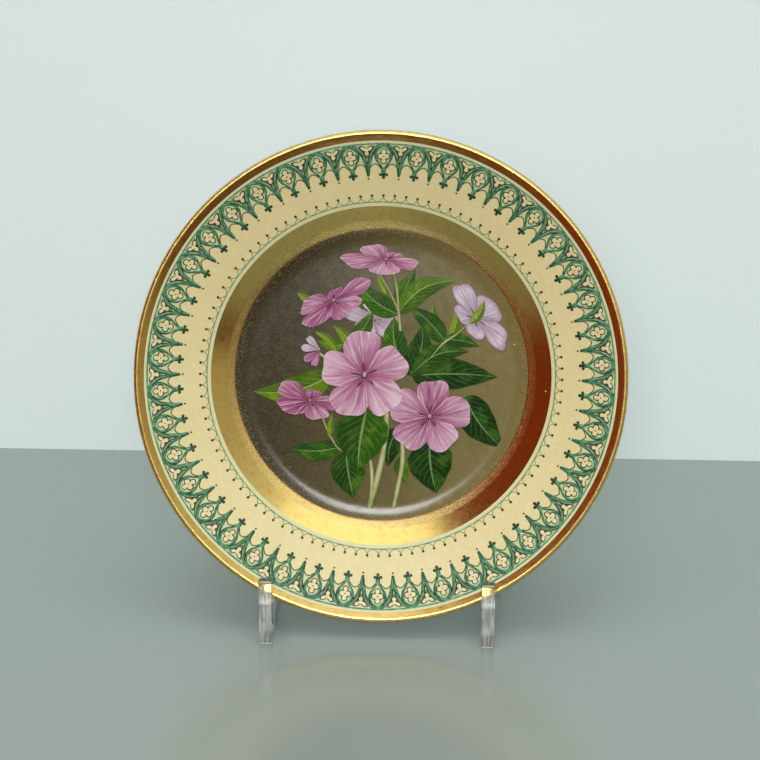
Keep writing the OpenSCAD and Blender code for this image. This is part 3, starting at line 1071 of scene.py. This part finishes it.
flowers = [
    flower("high_flower", (1.5, 57), 18, 0.42, radians(-3), radians(36), 0.34, 6,
           (0.55, 0.9, 1.0, 1.2, 0.95)),
    flower("left_flower", (-24, 36.5), 20, 0.46, radians(32), radians(20), 0.16, 5,
           (0.5, 1.0, 1.05, 1.0, 0.95)),
    flower("low_left_flower", (-35, -13), 16, 0.58, radians(-12), radians(8), 0.12, 5,
           (0.6, 0.85, 0.95, 1.1, 1.1)),
    flower("back_flower", (-4, 27), 14, 0.6, radians(-20), radians(50), 0.75, 1,
           (1.0, 0.9, 0.9, 1.1, 0.9), petal_back_paint),
    flower("right_flower", (46, 29), 19, 0.60, radians(-50), radians(0), 0.70, 5,
           (1.0, 1.05, 0.7, 0.7, 1.0), petal_back_paint),
    flower("great_flower", (-8.3, 0), 22, 0.98, 0, radians(-8), 0.66, 9,
           (1.0, 0.97, 1.0, 1.02, 0.96)),
    flower("second_flower", (24, -20), 20, 0.94, radians(10), radians(14), 0.46, 8,
           (0.95, 1.0, 0.95, 1.0, 1.05))]

greens = [
    leaf((-24, 0), (-63, -9), 15, -0.10, 0.72, 3), leaf((15, 0), (57, 0), 16, -0.03, 0.12, 4),
    leaf((41, -10), (60, -35), 17, 0.06, 0.06, 3), leaf((24, -32), (28, -58), 22, 0.04, 0.08, 3),
    leaf((-7, -17), (-11, -47), 26, 0.03, 0.35, 6), leaf((-17, -38), (-13, -61), 17, 0.02, 0.22, 3),
    leaf((-20, -36), (-45, -37), 10, -0.06, 0.34, 2), leaf((9, -26), (4, -45), 12, 0.1, 0.04, 2),
    leaf((8, 31), (36, 47), 11, -0.14, 0.66, 3), leaf((8, 32), (16, 52), 9, -0.05, 0.36, 2),
    leaf((8, 30), (-12, 45), 11, -0.08, 0.40, 3), leaf((7, 30), (-21, 43), 9, -0.02, 0.30, 2),
    leaf((31, 17), (13, 34), 10, 0.06, 0.24, 3), leaf((30, 18), (48, 15), 7, -0.06, 0.30, 4),
    leaf((31, 19), (25, 36), 6, -0.14, 0.80, 2), leaf((34, 20), (36, 33), 5, 0.1, 0.86, 2),
    leaf((15, 1), (43, 12.5), 11, -0.14, 0.30, 5), leaf((14, 0), (20, 25), 14, 0.08, 0.10, 4),
    leaf((9, 8), (6, 29), 12, -0.08, 0.42, 3), leaf((-13, 18), (-5, 31), 8, 0.06, 0.50, 3),
    leaf((10, -40), (14, -54), 7, 0.1, 0.62, 1), leaf((-18, 15), (-32, 17), 6, -0.1, 0.72, 2),
    leaf((-33, 34), (-42, 40), 4.5, 0.0, 0.92, 3), leaf((-22, 12), (-33, 21), 4.5, 0.1, 0.88, 3),
    leaf((-25, -31), (-24, -19), 3.6, 0.0, 0.80, 3), leaf((43, 26), (50, 38), 4.4, 0.1, 0.92, 7),
    leaf((2, 40), (-3, 50), 3.2, 0.0, 0.90, 5), leaf((-14, 12), (-24, 24), 6, 0.1, 0.84, 2)]

bud = [petal("bud_petal", reach, radians(34), radians(heading), pale, finish)
       for reach, heading, pale, finish in (
           (9.5, 52, 0.10, petal_paint), (9.5, 92, 0.95, petal_back_paint),
           (8.5, 20, 0.25, petal_paint), (9, 128, 0.80, petal_back_paint))]
for i, one in enumerate(bud):
    one.rotation_euler = (0, 0, radians(175))
    one.location = (-30 * mm, 12 * mm, layer_step * (4 + 0.4 * i) * mm)

stems = [
    stalk([(3, -12), (2, -34), (-1, -50), (-5, -66)], 3.2, 2),
    stalk([(10, -26), (11, -42), (9, -55), (7, -65.5)], 2.4, 2),
    stalk([(-6, -36), (-4, -50), (-4.6, -65.5)], 2.2, 1.6),
    stalk([(5, 52), (7, 42), (8, 31), (9, 22)], 1.4, 4), stalk([(-2, 50), (4, 40), (8, 31)], 1.1, 4),
    stalk([(-32, 11), (-24, 6), (-16, 4)], 1.6, 3),
    stalk([(45, 29), (37, 21), (30, 16), (24, 9)], 1.2, 4.6),
    stalk([(-30, -17), (-25, -30), (-18, -38), (-10, -34)], 1.1, 2)]

for sheet in greens + bud + flowers:
    only(sheet)
    bpy.ops.object.transform_apply(location=True, rotation=True, scale=True)
    bpy.ops.object.modifier_add(type="SOLIDIFY")
    sheet.modifiers[-1].thickness = film * mm
    sheet.modifiers[-1].offset = -1
    bpy.ops.object.modifier_apply(modifier=sheet.modifiers[-1].name)
    bpy.ops.object.shade_smooth_by_angle(angle=radians(50))
for line in stems:
    only(line)
    bpy.ops.object.transform_apply(location=True, rotation=True, scale=True)
for name, parts in (("painted_leaves", greens), ("painted_flowers", flowers + bud),
                    ("painted_stems", stems)):
    picture = fuse(name, *parts)
    for point in picture.data.vertices:
        point.co.z += face_z + 0.03 * mm
    stand_up(picture)
    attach(picture, "plate")


# ---------------------------------------------------------------------------------------------
# Stand. Two cheeks and two crossbars sawn from clear acrylic sheet. The faces keep their mill
# polish, and the sawn edges are whitish with faint saw lines.
# ---------------------------------------------------------------------------------------------
def acrylic_face():
    """Polished acrylic with a little haze and a few fine scratches."""
    material, tree, shader = new_material("polished_acrylic")
    shader.inputs["Transmission Weight"].default_value = 1.0
    shader.inputs["IOR"].default_value = 1.49
    place = node(tree, "TexCoord").outputs["Object"]
    haze = node(tree, "TexNoise", scale=60.0, detail=3.0)
    tree.links.new(place, haze.inputs["Vector"])
    tree.links.new(blend_colours(tree, haze.outputs["Fac"], (0.97, 0.99, 0.985),
                                 (0.99, 1.0, 0.995)), shader.inputs["Base Color"])
    tree.links.new(rescaled(tree, haze.outputs["Fac"], 0.4, 0.7, 0.0, 0.03),
                   shader.inputs["Roughness"])
    scratch = node(tree, "TexNoise", scale=220.0, detail=1.0, distortion=2.0)
    tree.links.new(place, scratch.inputs["Vector"])
    bump(tree, shader, rescaled(tree, scratch.outputs["Fac"], 0.68, 0.72, 0, 0.15), 0.00005, 0.3)
    return material


def acrylic_edge():
    """Sawn edge, whitened by its saw lines and only half cleared by the flame."""
    material, tree, shader = new_material("acrylic_sawn_edge")
    shader.inputs["Transmission Weight"].default_value = 0.58
    shader.inputs["IOR"].default_value = 1.49
    place = node(tree, "TexCoord").outputs["Object"]
    stretch = node(tree, "Mapping")
    stretch.inputs["Scale"].default_value = (900, 90, 90)
    tree.links.new(place, stretch.inputs["Vector"])
    saw = node(tree, "TexNoise", scale=1.0, detail=3.0)
    tree.links.new(stretch.outputs["Vector"], saw.inputs["Vector"])
    flame = node(tree, "TexNoise", scale=110.0, detail=3.0)
    tree.links.new(place, flame.inputs["Vector"])
    lines = rescaled(tree, saw.outputs["Fac"], 0.40, 0.58)
    tree.links.new(blend_colours(tree, lines, (0.52, 0.56, 0.53),
                                 (0.97, 0.99, 0.97)), shader.inputs["Base Color"])
    rough = maths(tree, "ADD", rescaled(tree, flame.outputs["Fac"], 0.35, 0.65, 0.04, 0.20),
                  rescaled(tree, saw.outputs["Fac"], 0.3, 0.7, 0.0, 0.10))
    tree.links.new(rough, shader.inputs["Roughness"])
    bump(tree, shader, saw.outputs["Fac"], 0.00018, 0.9)
    return material


def remade(name, source, bevel, finishes, thin_axis, body):
    """A welded copy of a CAD part with softened edges, which stands for it. The first finish
    goes on faces square to the thin axis and on the hooks, and the last on all other edges."""
    only(frame["nodes"][source])
    bpy.ops.object.duplicate()
    piece = bpy.context.object
    piece.name = name
    del piece["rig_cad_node"]
    bpy.ops.object.mode_set(mode="EDIT")
    bpy.ops.mesh.select_all(action="SELECT")
    bpy.ops.mesh.remove_doubles(threshold=0.00001)
    bpy.ops.mesh.dissolve_limited(angle_limit=radians(0.5))
    bpy.ops.object.mode_set(mode="OBJECT")
    bpy.ops.object.modifier_add(type="BEVEL")
    softened = piece.modifiers[-1]
    softened.width = bevel
    softened.segments = 2
    softened.limit_method = "ANGLE"
    softened.angle_limit = radians(40)
    softened.use_clamp_overlap = True
    bpy.ops.object.modifier_apply(modifier=softened.name)
    bpy.ops.object.shade_smooth_by_angle(angle=radians(35))
    piece.data.materials.clear()
    for finish in finishes:
        piece.data.materials.append(finish)
    for face in piece.data.polygons:
        hook = face.center.y < hook_back and face.center.z > ledge
        clear = hook or abs(face.normal[thin_axis]) > 0.9
        face.material_index = 0 if clear else len(finishes) - 1
    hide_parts(source)
    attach(piece, body)
    return piece


hook_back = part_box("left_rim_pad")[1].y
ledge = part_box("left_rim_pad")[0].z - 0.0003
sheet_finishes = (acrylic_face(), acrylic_edge())
for side in ("left", "right"):
    remade(f"{side}_acrylic_cheek", f"{side}_cheek", 0.0003, sheet_finishes, 0, "stand")
for level in ("upper", "lower"):
    remade(f"{level}_acrylic_bar", f"{level}_crossbar", 0.0003, sheet_finishes,
           1, f"{level}_crossbar")


# ---------------------------------------------------------------------------------------------
# Pads. Thin strips of soft clear vinyl stuck under the feet, on the ledges and on the arms.
# They are milky beside the acrylic and pick up a little dust.
# ---------------------------------------------------------------------------------------------
def clear_vinyl():
    material, tree, shader = new_material("clear_vinyl")
    shader.inputs["Transmission Weight"].default_value = 0.12
    shader.inputs["IOR"].default_value = 1.5
    place = node(tree, "TexCoord").outputs["Object"]
    dust = node(tree, "TexNoise", scale=700.0, detail=3.0)
    tree.links.new(place, dust.inputs["Vector"])
    tree.links.new(blend_colours(tree, rescaled(tree, dust.outputs["Fac"], 0.45, 0.7),
                                 (0.96, 0.97, 0.96), (0.86, 0.88, 0.86)),
                   shader.inputs["Base Color"])
    tree.links.new(rescaled(tree, dust.outputs["Fac"], 0.3, 0.7, 0.32, 0.45),
                   shader.inputs["Roughness"])
    bump(tree, shader, dust.outputs["Fac"], 0.00002, 0.5)
    return material


vinyl = clear_vinyl()
for pad in [name for name in frame["nodes"] if name.endswith("_pad")]:
    remade(pad.replace("_pad", "_vinyl_pad"), pad, 0.0002, (vinyl,), 0, "stand")
